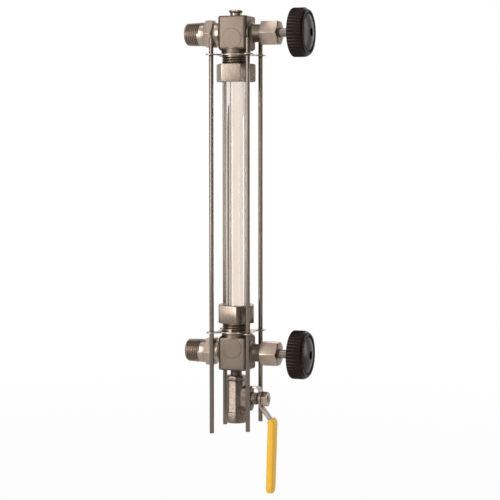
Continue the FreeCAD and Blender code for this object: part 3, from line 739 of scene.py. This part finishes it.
def glassTube():
    low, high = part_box("gauge_glass")
    deselectAll()
    bpy.ops.mesh.primitive_cylinder_add(
        vertices=glassSettings["sides"], radius=(high[0] - low[0]) / 2, depth=high[2] - low[2],
        end_fill_type="NOTHING", location=(tubeX, 0, (low[2] + high[2]) / 2))
    tube = bpy.context.active_object
    tube.name = "gauge_glass_finished"
    bpy.ops.object.transform_apply(location=True, rotation=True, scale=True)
    wall = tube.modifiers.new("wall", "SOLIDIFY")
    wall.thickness = glassSettings["wall"]
    wall.offset = -1
    rim = tube.modifiers.new("rim", "BEVEL")
    rim.width = glassSettings["rim"]
    rim.segments = glassSettings["rimSegments"]
    rim.limit_method = "ANGLE"
    rim.angle_limit = math.radians(glassSettings["rimAngle"])
    applyModifiers(tube)
    smoothPiece(tube, glassSettings["smooth"])
    finishPiece(tube, "gauge_glass", tubeGlass)


glassTube()
print("glass tube made")


# Screw threads, cut by a coil

threadSettings = {
    "halfAngle": 30,           # degrees between a flank and the groove's middle
    "steps": 40,               # steps in a turn
    "proud": 0.12 * mm,        # how far the coil stands out of the piece
    "smooth": 30,
}


# Coil with a three-cornered section along +X: cut from a piece, it leaves a 60 degree thread
def threadCoil(name, settings):
    pitch = settings["pitch"]
    groove = pitch - settings["crest"]
    depth = groove * math.cos(math.radians(threadSettings["halfAngle"]))
    corner = (depth + threadSettings["proud"]) * 2 / 3
    bpy.ops.mesh.primitive_circle_add(vertices=3, radius=corner, fill_type="NOTHING")
    coil = bpy.context.active_object
    coil.name = name
    bpy.ops.object.mode_set(mode="EDIT")
    bpy.ops.mesh.select_all(action="SELECT")
    bpy.ops.transform.translate(
        value=(settings["start"], depth - settings["radius"] - corner, 0))
    bpy.ops.object.mode_set(mode="OBJECT")
    wind = coil.modifiers.new("wind", "SCREW")
    wind.axis = "X"
    wind.screw_offset = pitch
    wind.iterations = settings["turns"]
    wind.steps = threadSettings["steps"]
    wind.render_steps = threadSettings["steps"]
    applyModifiers(coil)
    if settings["taper"]:
        narrow = coil.modifiers.new("narrow", "SIMPLE_DEFORM")
        narrow.deform_method = "TAPER"
        narrow.deform_axis = "X"
        narrow.factor = settings["taper"] / 2 / settings["radius"] * coil.dimensions.x
        applyModifiers(coil)
    bpy.ops.object.mode_set(mode="EDIT")
    bpy.ops.mesh.select_mode(type="VERT")
    bpy.ops.mesh.select_all(action="DESELECT")
    bpy.ops.mesh.select_non_manifold()
    bpy.ops.mesh.fill()
    bpy.ops.mesh.select_all(action="SELECT")
    bpy.ops.mesh.normals_make_consistent(inside=False)
    bpy.ops.object.mode_set(mode="OBJECT")
    return coil


# Turn and move a coil's mesh to where it cuts
def placeCoil(coil, upright, turnOver, x, z):
    makeActive(coil)
    bpy.ops.object.mode_set(mode="EDIT")
    bpy.ops.mesh.select_all(action="SELECT")
    if upright:
        bpy.ops.transform.rotate(
            value=math.radians(90), orient_axis="Y", center_override=(0, 0, 0))
    if turnOver:
        bpy.ops.transform.rotate(
            value=math.radians(180), orient_axis="X", center_override=(0, 0, 0))
    bpy.ops.transform.translate(value=(x, 0, z))
    bpy.ops.object.mode_set(mode="OBJECT")


def cutThread(piece, coil):
    cut = piece.modifiers.new("cutThread", "BOOLEAN")
    cut.operation = "DIFFERENCE"
    cut.solver = "EXACT"
    cut.object = coil
    applyModifiers(piece)
    bpy.data.objects.remove(coil, do_unlink=True)
    smoothPiece(piece, threadSettings["smooth"])


# Shanks with their tapered male thread

shankSettings = {
    "radius": 10.18 * mm,      # thread crest at the tip
    "pitch": 1.814 * mm,
    "crest": 0.24 * mm,        # flat left between grooves
    "taper": 1 / 16,
    "start": -1.0 * mm,
    "turns": 8,
}


def threadedShank(side, z):
    name = side + "_process_shank"
    piece = joinedCopy(name)
    coil = threadCoil(side + "ShankCoil", shankSettings)
    placeCoil(coil, False, False, 0, z)
    cutThread(piece, coil)
    finishPiece(piece, name, turnedBronze)


# Bodies with the thread of their neck cut where it shows, between plate and gland nut

neckSettings = {
    "radius": 12.7 * mm,
    "pitch": 2.117 * mm,
    "crest": 0.4 * mm,
    "taper": 0,
    "start": 20.6 * mm,
    "turns": 3,
    "turnedFrom": 19.1 * mm,   # height above the stem's axis where the cast skin ends
}


def threadedBody(side, z):
    name = side + "_valve_body"
    piece = joinedCopy(name)
    coil = threadCoil(side + "NeckCoil", neckSettings)
    placeCoil(coil, True, side == "upper", tubeX, z)
    cutThread(piece, coil)
    finishPiece(piece, name, castBronze)
    piece.data.materials.append(threadBronze)
    direction = 1 if side == "lower" else -1
    for face in piece.data.polygons:
        if (face.center.z - z) * direction > neckSettings["turnedFrom"]:
            face.material_index = 1


for side, z in (("lower", lowerZ), ("upper", upperZ)):
    threadedShank(side, z)
    threadedBody(side, z)
print("threaded pieces finished")
